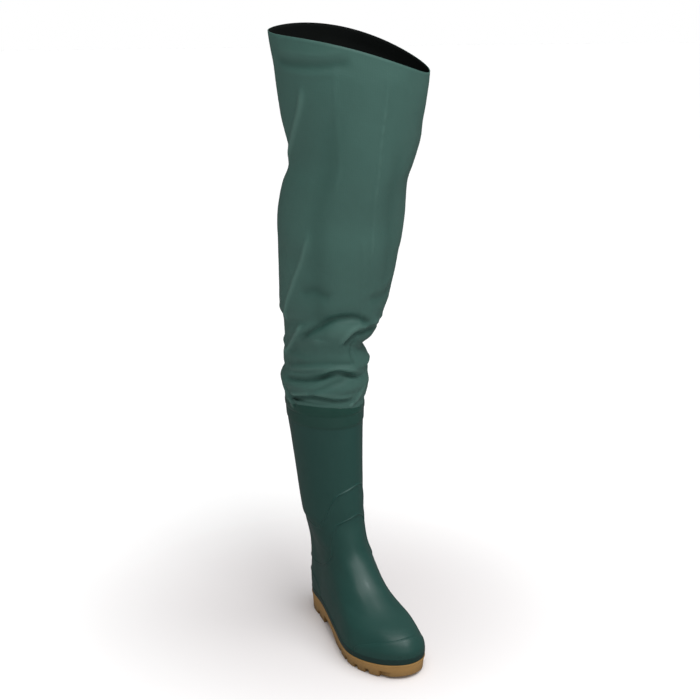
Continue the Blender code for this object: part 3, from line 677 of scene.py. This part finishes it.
# Creases: half width and depth in millimetres (below zero for a ridge), how much the cloth swells
# beside it (above zero on its upper side), and its path as degrees from the back and leg shares
CREASES = (
    (15.0, -1.9, 0.0, ((128, 0.190), (142, 0.210), (158, 0.226), (176, 0.230), (192, 0.220))),
    (4.6, 5.6, 0.0, ((114, 0.184), (121, 0.200), (129, 0.217), (140, 0.237), (156, 0.261), (174, 0.270),
                     (189, 0.264), (206, 0.240), (216, 0.226))),
    (5.5, 5.6, 0.40, ((176, 0.176), (179, 0.190), (187, 0.213), (200, 0.216), (218, 0.219), (240, 0.202))),
    (2.6, 1.8, 0.30, ((191, 0.205), (189, 0.175), (188, 0.145), (190, 0.118))),
    (5.0, 2.6, 0.0, ((88, 0.100), (93, 0.102), (140, 0.126), (178, 0.124), (196, 0.118))),
    (4.5, -2.2, 0.0, ((92, 0.088), (101, 0.091), (142, 0.112), (177, 0.115), (200, 0.100))),
    (3.6, 5.2, 0.25, ((84, 0.060), (99, 0.061), (131, 0.074), (148, 0.085), (165, 0.100), (180, 0.093),
                      (206, 0.077), (225, 0.076))),
    (4.0, 2.4, 0.30, ((130, 0.034), (139, 0.040), (159, 0.063), (182, 0.082))),
    (3.2, 4.2, 0.30, ((98, 0.004), (109, 0.005), (138, 0.023), (163, 0.013), (184, 0.010), (196, 0.014))),
    (4.0, -2.0, 0.0, ((100, 0.017), (109, 0.019), (146, 0.037), (183, 0.025))),
    (4.0, -2.4, 0.0, ((190, -0.020), (194, -0.010), (201, 0.008), (212, 0.030), (222, 0.052))),
    (4.2, -2.3, 0.0, ((78, 0.040), (85, 0.014), (96, -0.010), (107, -0.040))),
    (3.6, 1.5, 0.0, ((87, 0.036), (94, 0.010), (104, -0.012), (112, -0.030))),
    (4.0, -3.4, 0.0, ((86, 0.230), (92, 0.250), (109, 0.325), (120, 0.390), (131, 0.470), (136, 0.520))),
    (4.2, -4.0, 0.0, ((78, 0.120), (86, 0.136), (100, 0.176), (114, 0.215), (120, 0.245))),
    (8.0, 2.6, 0.0, ((122, 0.336), (131, 0.342), (139, 0.347), (150, 0.334), (158, 0.326))),
    (3.0, -0.9, 0.0, ((184, 0.500), (185, 0.469), (189, 0.318), (191, 0.258), (190, 0.235))),
    (4.5, -3.2, 0.0, ((84, 0.670), (97, 0.705), (113, 0.761), (125, 0.816), (130, 0.855), (132, 0.895))),
    (7.0, 3.2, 0.35, ((104, 0.946), (114, 0.938), (131, 0.936), (151, 0.942), (165, 0.956), (174, 0.968))),
    (2.8, -1.7, 0.0, ((199, 0.985), (198, 0.896), (194, 0.755), (194, 0.613), (194, 0.497), (192, 0.400))),
    (3.0, -1.0, 0.0, ((160, 0.985), (159, 0.860), (158, 0.720), (157, 0.600))),
    (4.0, -1.5, 0.0, ((104, 0.930), (114, 0.922), (131, 0.919), (151, 0.925), (165, 0.940))),
    (14.0, 2.2, 0.0, ((143, 0.200), (143, 0.232), (142, 0.467), (150, 0.713), (158, 0.850))),
    (12.0, 1.8, 0.0, ((214, 0.320), (216, 0.450), (212, 0.620), (218, 0.800))),
    (9.0, 2.2, 0.25, ((196, 0.330), (208, 0.318), (224, 0.325), (240, 0.345))),
    (5.0, 4.6, 0.40, ((225, 0.236), (250, 0.222), (280, 0.232), (310, 0.245), (340, 0.238))),
    (5.0, 5.2, -0.35, ((236, 0.155), (262, 0.168), (292, 0.160), (322, 0.172), (352, 0.168))),
    (4.0, 4.4, 0.30, ((215, 0.088), (240, 0.100), (270, 0.088), (300, 0.098), (330, 0.090))),
    (4.5, 4.6, 0.35, ((330, 0.182), (360, 0.165), (390, 0.150), (420, 0.136), (436, 0.132))),
    (4.0, 4.0, 0.25, ((340, 0.108), (360, 0.100), (380, 0.090), (410, 0.078), (440, 0.066))),
    (3.4, 3.6, 0.25, ((236, 0.010), (250, 0.012), (290, 0.026), (330, 0.012), (365, 0.022), (400, 0.008),
                      (430, 0.012))),
    (5.0, 4.2, 0.35, ((372, 0.222), (392, 0.244), (416, 0.252), (442, 0.236))),
    (4.0, -2.4, 0.0, ((246, 0.128), (266, 0.140), (290, 0.128), (312, 0.136))),
    (4.5, -2.2, 0.0, ((256, 0.052), (284, 0.064), (318, 0.050), (344, 0.060))),
    (8.0, 2.8, 0.30, ((288, 0.372), (304, 0.350), (330, 0.334), (355, 0.345), (372, 0.362))),
    (16.0, 3.0, 0.0, ((380, 0.290), (384, 0.450), (386, 0.640), (376, 0.850))),
    (10.0, 2.4, 0.25, ((276, 0.570), (290, 0.520), (306, 0.482), (330, 0.470), (346, 0.478))),
    (12.0, -2.4, 0.0, ((262, 0.400), (268, 0.560), (264, 0.720), (262, 0.860))),
    (9.0, 2.0, 0.20, ((318, 0.700), (336, 0.660), (356, 0.640), (374, 0.650))),
    (6.0, -2.0, 0.0, ((300, 0.640), (316, 0.740), (322, 0.860), (326, 0.940))),
    (7.0, 2.2, 0.30, ((300, 0.930), (330, 0.936), (360, 0.944), (385, 0.936))),
)

# How a crease is drawn: points for each knot of its path, its reach in half widths, the share of its
# length over which it fades in and out, how steep it is, and place and width of the swelling
CREASE_POINTS = 12
CREASE_REACH = 4.5
CREASE_FADE = 0.22
CREASE_POWER = 1.8
SWELL_PLACE, SWELL_WIDTH = 1.9, 0.9

# Length of one degree round the leg in millimetres: at its lower end, and what the top adds
DEGREE = 1.15
DEGREE_GROWTH = 0.5


def collar_height(turn):
    """Height of the leg's cut top edge, turn in radians."""
    sides = COLLAR_OUTER_RISE + COLLAR_INNER_RISE
    ends = COLLAR_BACK_RISE + COLLAR_FRONT_RISE
    slope = (COLLAR_OUTER_RISE - COLLAR_INNER_RISE) / 2.0 * np.sin(turn)
    slope += (COLLAR_BACK_RISE - COLLAR_FRONT_RISE) / 2.0 * np.cos(turn)
    saddle = (ends - sides) / 4.0 * np.cos(2.0 * (turn - COLLAR_SADDLE_TURN))
    return COLLAR_HEIGHT + (ends + sides) / 4.0 + slope + saddle


def degrees_off(turn, middle):
    """Degrees from a middle, the short way round."""
    return (turn - middle + 180.0) % 360.0 - 180.0


def large_folds(share, turn):
    """How far the large folds press the leg inwards."""
    total = np.zeros_like(share)
    for height, around, span, climb, half_width, depth in FOLD_ROWS:
        along = degrees_off(turn, around) / span
        across = (share - height - climb * along) / half_width
        total += depth * THIGH_DEPTH * np.exp(-across ** 2) * np.maximum(1.0 - along ** 2, 0.0)
    return total


def crease_relief(share, turn):
    """How far the cloth stands out over its plain surface, below zero in a crease."""
    total = np.zeros_like(share)
    for half_width, depth, swell, path in CREASES:
        line = between(path, np.linspace(0.0, len(path) - 1.0, CREASE_POINTS * len(path)))
        middle = line[:, 0].mean()
        scale = DEGREE + DEGREE_GROWTH * max(line[:, 1].mean(), 0.0)
        u = degrees_off(turn, middle) * scale
        v = share * LEG_LENGTH * 1000.0
        line_u = (line[:, 0] - middle) * scale
        line_v = line[:, 1] * LEG_LENGTH * 1000.0
        margin = CREASE_REACH * half_width
        near = ((u > line_u.min() - margin) & (u < line_u.max() + margin)
                & (v > line_v.min() - margin) & (v < line_v.max() + margin))
        du = u[near][:, None] - line_u
        dv = v[near][:, None] - line_v
        nearest = np.argmin(du ** 2 + dv ** 2, axis=1)
        pick = np.arange(len(nearest))
        away = np.hypot(du[pick, nearest], dv[pick, nearest]) / half_width
        tangent_u, tangent_v = np.gradient(line_u)[nearest], np.gradient(line_v)[nearest]
        above = np.sign(tangent_u * dv[pick, nearest] - tangent_v * du[pick, nearest])
        place = nearest / (len(line) - 1.0)
        fade = smooth(place / CREASE_FADE) * smooth((1.0 - place) / CREASE_FADE)
        shape = np.exp(-away ** CREASE_POWER)
        if swell:
            beside = away * above - SWELL_PLACE * math.copysign(1.0, swell)
            shape -= abs(swell) * np.exp(-(beside / SWELL_WIDTH) ** 2)
        total[near] -= depth / 1000.0 * fade * shape
    return total


def leg_surface(share, turn, distance):
    """Points of the leg at a distance outside its own outline, folded and creased."""
    fields = between(LEG_ROWS, np.interp(share, [row[0] for row in LEG_ROWS], range(len(LEG_ROWS))))
    _, middle, sway, depth, width, corner = np.moveaxis(fields, -1, 0)
    angle = np.radians(turn)
    half_depth = (CALF_DEPTH + depth * (THIGH_DEPTH - CALF_DEPTH)) / 2.0
    half_width = (CALF_WIDTH + width * (THIGH_WIDTH - CALF_WIDTH)) / 2.0
    x = -np.sign(np.cos(angle)) * np.abs(np.cos(angle)) ** corner * half_depth
    y = -np.sin(angle) * half_width
    twist = COLLAR_TWIST * smooth(share)
    z = BOOT_HEIGHT + share * LEG_LENGTH + (collar_height(angle) - BOOT_HEIGHT - LEG_LENGTH) * share ** 3
    cloth = np.stack([x * np.cos(twist) + y * np.sin(twist) + middle * FOOT_LENGTH,
                      -x * np.sin(twist) + y * np.cos(twist) + sway * BALL_WIDTH, z], axis=-1)
    lap = boot_points(rise_at(BOOT_HEIGHT + np.minimum(share, 0.0) * LEG_LENGTH), turn)
    plain = np.where((share <= 0.0)[..., None], lap, cloth)
    normal = outward(plain)
    level = normal.copy()
    level[..., 2] = 0.0
    level /= np.linalg.norm(level, axis=-1, keepdims=True)
    free = smooth((share + FREE_UNDER) / FREE_LENGTH)
    pressed = large_folds(share, turn)
    folded = plain - level * pressed[..., None]
    limp = LIMP + LIMP_LOW * smooth((LIMP_UNDER - share) / LIMP_LENGTH)
    limp *= free * smooth(share / LIMP_FROM_WELD)
    wave = np.array([[noise.noise(Vector(p) / LIMP_SIZE) + LIMP_FINE * noise.noise(Vector(p) / LIMP_FINE_SIZE)
                      for p in row] for row in plain])
    relief = crease_relief(share, turn)
    lift = relief * free + limp * wave
    return folded + level * distance + outward(folded) * lift[..., None], relief


def leg_grid(levels, counts):
    """Shares and turns of a grid round the leg, with rows from level to level."""
    turn = np.arange(LEG_COLUMNS + 1) * 360.0 / LEG_COLUMNS
    share = steps([np.full_like(turn, level) for level in levels], counts)
    return share, np.broadcast_to(turn, share.shape)


# Coated fabric: thin green nylon with a matt PVC coat. It gives a soft, even sheen with the weave
# just showing through. Its colour holds a painted highlight, paler on the ridges, and painted shade,
# darker down in the creases.
coated, tree, shader, where = finish("coated_green_fabric", IOR=1.50, Specular_IOR_Level=0.28)
cloth_map = node(tree, "ShaderNodeTexCoord").outputs["UV"]
crease = node(tree, "ShaderNodeAttribute", attribute_name="relief").outputs["Fac"]
cloud = node(tree, "ShaderNodeTexNoise", {"Vector": where, "Scale": 9.0, "Detail": 5.0, "Roughness": 0.6})
crumple = node(tree, "ShaderNodeTexNoise", {"Vector": where, "Scale": 70.0, "Detail": 4.0, "Roughness": 0.55})
base = node(tree, "ShaderNodeMix", {0: cloud.outputs["Fac"], 6: linear("#35564F"), 7: linear("#3F6159")},
            data_type="RGBA")
# Painted shade: the cloth's colour turns darker down in the creases
deep = node(tree, "ShaderNodeMapRange", {"Value": crease, "From Max": -0.0045, "To Max": 0.65})
painted_crease_shade = node(tree, "ShaderNodeMix", {0: deep.outputs["Result"], 6: base.outputs[2], 7: linear("#24463F")},
            data_type="RGBA")
# Painted highlight: the cloth's colour turns paler on the ridges
ridge_highlight_mask = node(tree, "ShaderNodeMapRange", {"Value": crease, "From Min": 0.0005, "From Max": 0.0030,
                                           "To Max": 0.35})
painted_ridge_highlight = node(tree, "ShaderNodeMix", {0: ridge_highlight_mask.outputs["Result"], 6: painted_crease_shade.outputs[2], 7: linear("#5A7C73")},
            data_type="RGBA")
tree.links.new(painted_ridge_highlight.outputs[2], shader.inputs["Base Color"])
dull = node(tree, "ShaderNodeMapRange", {"Value": cloud.outputs["Fac"], "From Min": 0.3, "From Max": 0.7,
                                         "To Min": 0.56, "To Max": 0.66})
tree.links.new(dull.outputs["Result"], shader.inputs["Roughness"])
# One wave holds two threads, each 1.2 mm wide on average, coarser than the real 0.5 mm, so that
# they show. THREADS is about how many there are round the leg and along it.
THREADS = (420.0, 430.0, 1.0)
THREAD_PAIR = 0.159
threads = node(tree, "ShaderNodeMapping", {"Vector": cloth_map, "Scale": THREADS}).outputs["Vector"]
weft = node(tree, "ShaderNodeTexWave", {"Vector": threads, "Scale": THREAD_PAIR}, bands_direction="X")
warp = node(tree, "ShaderNodeTexWave", {"Vector": threads, "Scale": THREAD_PAIR}, bands_direction="Y")
weave = node(tree, "ShaderNodeMath", {0: weft.outputs["Fac"], 1: warp.outputs["Fac"]}, operation="MULTIPLY")
woven = node(tree, "ShaderNodeBump", {"Height": weave.outputs[0], "Strength": 0.12, "Distance": 0.0003})
rumpled = node(tree, "ShaderNodeBump", {"Height": crumple.outputs["Fac"], "Strength": 0.22,
                                        "Distance": 0.0022, "Normal": woven.outputs["Normal"]})
tree.links.new(rumpled.outputs["Normal"], shader.inputs["Normal"])

# Lining: the bare knitted back of the same cloth, dull, and painted very dark as the shade deep inside
# the leg, so that the leg looks empty
lining, tree, shader, where = finish("knitted_back_painted_shade", Roughness=0.95, Specular_IOR_Level=0.15)
knit = node(tree, "ShaderNodeTexNoise", {"Vector": where, "Scale": 800.0, "Detail": 2.0})
fade = node(tree, "ShaderNodeTexNoise", {"Vector": where, "Scale": 14.0, "Detail": 3.0})
# Painted shade: the lining is coloured very dark, as the inside of the leg lies in shade
painted_inner_shade = node(tree, "ShaderNodeMix", {0: fade.outputs["Fac"], 6: linear("#060807"), 7: linear("#0D1110")},
             data_type="RGBA")
tree.links.new(painted_inner_shade.outputs[2], shader.inputs["Base Color"])
loops = node(tree, "ShaderNodeBump", {"Height": knit.outputs["Fac"], "Strength": 0.4, "Distance": 0.0004})
tree.links.new(loops.outputs["Normal"], shader.inputs["Normal"])

# Cut edge: the coat and its cloth sliced through, a shade paler than the outside
edge, tree, shader, where = finish("cut_coated_edge", Roughness=0.7, IOR=1.50)
fray = node(tree, "ShaderNodeTexNoise", {"Vector": where, "Scale": 500.0, "Detail": 2.0})
cut_face = node(tree, "ShaderNodeMix", {0: fray.outputs["Fac"], 6: linear("#3C5F56"), 7: linear("#53766C")},
                data_type="RGBA")
tree.links.new(cut_face.outputs[2], shader.inputs["Base Color"])

share, turns = leg_grid((-WELD_HEIGHT / LEG_LENGTH, 0.0, FOLDED_SHARE, 1.0), LEG_MESH_ROWS)
points, relief = leg_surface(share, turns, GAP + LEG_WALL)
leg = sleeve("fabric_leg", points, LEG_WALL, {"relief": relief}, [coated, lining, edge])
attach(leg, "root")
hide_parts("leg")


# Welded tape: a glossy dark PVC strip, melted over the leg's lower end so that no water gets in.
# It shines where it was pressed smooth and gathers where the wider cloth was eased onto the boot.
TAPE_SKIN = 0.0002
TAPE_MESH_ROWS = 26

# How far the tape stands off the boot at heights under the boot's top edge
TAPE_PROFILE = ((-0.0225, 0.00115), (-0.0205, 0.0016), (-0.0180, 0.0021), (-0.0110, 0.0022),
                (-0.0085, 0.0021), (-0.0060, 0.0018))

# The tape's upper edge: how far it dips, the turn where it is highest, and for how many degrees
# either way it stays level and then falls
TAPE_DIP = 0.007
TAPE_HIGHEST = 150.0
TAPE_LEVEL, TAPE_RAMP = 12.0, 50.0

# Dark PVC tape, heat welded: glossy, with small ripples from the hot press, and a painted highlight,
# paler where a pleat of the cloth under it stands up
weld, tree, shader, where = finish("glossy_welded_pvc", IOR=1.53, Specular_IOR_Level=0.40,
                                   Coat_Weight=0.25, Coat_Roughness=0.18)
streak = node(tree, "ShaderNodeTexNoise", {"Vector": where, "Scale": 45.0, "Detail": 5.0, "Roughness": 0.6})
ripple = node(tree, "ShaderNodeTexNoise", {"Vector": where, "Scale": 120.0, "Detail": 3.0, "Roughness": 0.5})
shade = node(tree, "ShaderNodeMix", {0: streak.outputs["Fac"], 6: linear("#103A31"), 7: linear("#16443A")},
             data_type="RGBA")
# Painted highlight: the tape's colour turns paler over the pleats of the cloth under it
pleat = node(tree, "ShaderNodeAttribute", attribute_name="relief").outputs["Fac"]
raised = node(tree, "ShaderNodeMapRange", {"Value": pleat, "From Min": 0.0004, "From Max": 0.0024,
                                           "To Max": 0.65})
painted_pleat_highlight = node(tree, "ShaderNodeMix", {0: raised.outputs["Result"], 6: shade.outputs[2],
                                         7: linear("#5A7C73")}, data_type="RGBA")
tree.links.new(painted_pleat_highlight.outputs[2], shader.inputs["Base Color"])
gloss = node(tree, "ShaderNodeMapRange", {"Value": streak.outputs["Fac"], "From Min": 0.3, "From Max": 0.7,
                                          "To Min": 0.30, "To Max": 0.42})
tree.links.new(gloss.outputs["Result"], shader.inputs["Roughness"])
pressed = node(tree, "ShaderNodeBump", {"Height": ripple.outputs["Fac"], "Strength": 0.30,
                                        "Distance": 0.0012})
tree.links.new(pressed.outputs["Normal"], shader.inputs["Normal"])

around = np.arange(LEG_COLUMNS + 1) * 360.0 / LEG_COLUMNS
dip = TAPE_DIP * smooth((np.abs(degrees_off(around, TAPE_HIGHEST)) - TAPE_LEVEL) / TAPE_RAMP)
heights, offsets = zip(*TAPE_PROFILE)
share, turns = leg_grid((heights[0] / LEG_LENGTH, (heights[-1] - dip) / LEG_LENGTH), (TAPE_MESH_ROWS,))
bottom, top = share[0], share[-1]
level = heights[0] + (share - bottom) / (top - bottom) * (heights[-1] - heights[0])
points, relief = leg_surface(share, turns, np.interp(level, heights, offsets)[..., None])
tape = sleeve("welded_tape", points, TAPE_SKIN, {"relief": relief}, [weld])
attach(tape, "root")
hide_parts("weld_tape")


# Studio: a plain pale floor, greyer round the boot as a painted shadow, that fades to white with a faint
# painted glow further off and runs out of sight, and soft light from all round and above. The walls are
# darker in reflections, so that the boot keeps its deep colour.
WHITE = (1.0, 1.0, 1.0, 1.0)
FADE_FROM, FADE_TO = 0.10, 0.62
FLOOR_GLOW = 0.12
FLOOR_SIZE = 30.0
WALL_LIGHT = 0.34
BACKDROP_LIGHT = 1.0
REFLECTED_LIGHT = 0.14

floor_paint, tree, shader, where = finish("floor_with_painted_shadow", Roughness=0.9, Emission_Color=WHITE)
haze = node(tree, "ShaderNodeTexNoise", {"Vector": where, "Scale": 2.0, "Detail": 2.0})
# Painted shadow: the floor is greyer near the boot and fades to white further off
white = node(tree, "ShaderNodeMix", {0: haze.outputs["Fac"], 6: linear("#EAE6E6"), 7: linear("#EEEAEA")},
             data_type="RGBA")
away = node(tree, "ShaderNodeVectorMath", {0: where}, operation="LENGTH")
far = node(tree, "ShaderNodeMapRange", {"Value": away.outputs["Value"], "From Min": FADE_FROM,
                                        "From Max": FADE_TO}, interpolation_type="SMOOTHSTEP")
shadow_fading_to_white = node(tree, "ShaderNodeMix", {0: far.outputs["Result"], 6: white.outputs[2], 7: WHITE},
             data_type="RGBA")
tree.links.new(shadow_fading_to_white.outputs[2], shader.inputs["Base Color"])
# Painted glow: further off the floor gives out a faint light of its own
lift = node(tree, "ShaderNodeMath", {0: far.outputs["Result"], 1: FLOOR_GLOW}, operation="MULTIPLY")
tree.links.new(lift.outputs[0], shader.inputs["Emission Strength"])
bm = bmesh.new()
bmesh.ops.create_grid(bm, x_segments=4, y_segments=4, size=FLOOR_SIZE)
floor = placed("studio_floor", bm, [floor_paint])
floor.visible_glossy = False

scene = bpy.context.scene
world = bpy.data.worlds.new("studio_walls")
scene.world = world
world.use_nodes = True
tree = world.node_tree
walls = tree.nodes["Background"]
walls.inputs["Color"].default_value = WHITE
walls.inputs["Strength"].default_value = WALL_LIGHT
backdrop = node(tree, "ShaderNodeBackground", {"Color": WHITE, "Strength": BACKDROP_LIGHT})
flags = node(tree, "ShaderNodeBackground", {"Color": WHITE, "Strength": REFLECTED_LIGHT})
path = node(tree, "ShaderNodeLightPath")
mirrored = node(tree, "ShaderNodeMixShader", {0: path.outputs["Is Glossy Ray"], 1: walls.outputs[0],
                                              2: flags.outputs[0]})
studio = node(tree, "ShaderNodeMixShader", {0: path.outputs["Is Camera Ray"], 1: mirrored.outputs[0],
                                            2: backdrop.outputs[0]})
tree.links.new(studio.outputs[0], tree.nodes["World Output"].inputs["Surface"])
scene.view_settings.view_transform = "Standard"


def lamp(name, kind, place, target, energy, matt=True, shine=True, **settings):
    """A lamp that looks from its place at a target, to light surfaces, to shine in them or both."""
    light = bpy.data.lights.new(name, kind)
    light.energy = energy
    for setting, value in settings.items():
        setattr(light, setting, value)
    made = bpy.data.objects.new(name, light)
    made.visible_diffuse = matt
    made.visible_glossy = shine
    made.location = place
    made.rotation_euler = (Vector(target) - Vector(place)).to_track_quat("-Z", "Y").to_euler()
    scene.collection.objects.link(made)


COOL = (0.88, 0.98, 1.0)
lamp("ceiling", "SUN", (0.9, 0.4, 3.0), (0.0, 0.0, 0.4), 2.03, angle=math.radians(70.0))
lamp("top_box", "AREA", (0.85, 0.0, 1.8), (0.05, 0.0, 0.75), 6.5, shine=False, size=0.6)
lamp("soft_box", "AREA", (2.0, 0.75, 1.9), (0.1, 0.0, 0.1), 5.0, matt=False, size=1.0, color=COOL)
lamp("strip", "AREA", (0.8, 0.75, 2.6), (0.1, 0.0, 0.1), 8.0, matt=False, size=0.30, color=COOL)

# Camera: the photograph's own place and lens, turned a little so that the one boot is centred
PHOTO_PITCH = math.radians(15.1)
PHOTO_YAW = math.radians(2.7)
ahead = Vector((-0.897, 0.4415, 0.0)).normalized()
ahead.rotate(Matrix.Rotation(PHOTO_YAW, 3, "Z"))
look = ahead * math.cos(PHOTO_PITCH) - Vector((0.0, 0.0, math.sin(PHOTO_PITCH)))
lens = bpy.data.cameras.new("photo_camera")
lens.lens = 64.9
lens.sensor_width = 36.0
lens.clip_end = 100.0
camera = bpy.data.objects.new("photo_camera", lens)
camera.location = (1.750, -0.735, 0.950)
camera.rotation_euler = look.to_track_quat("-Z", "Y").to_euler()
scene.collection.objects.link(camera)
scene.camera = camera
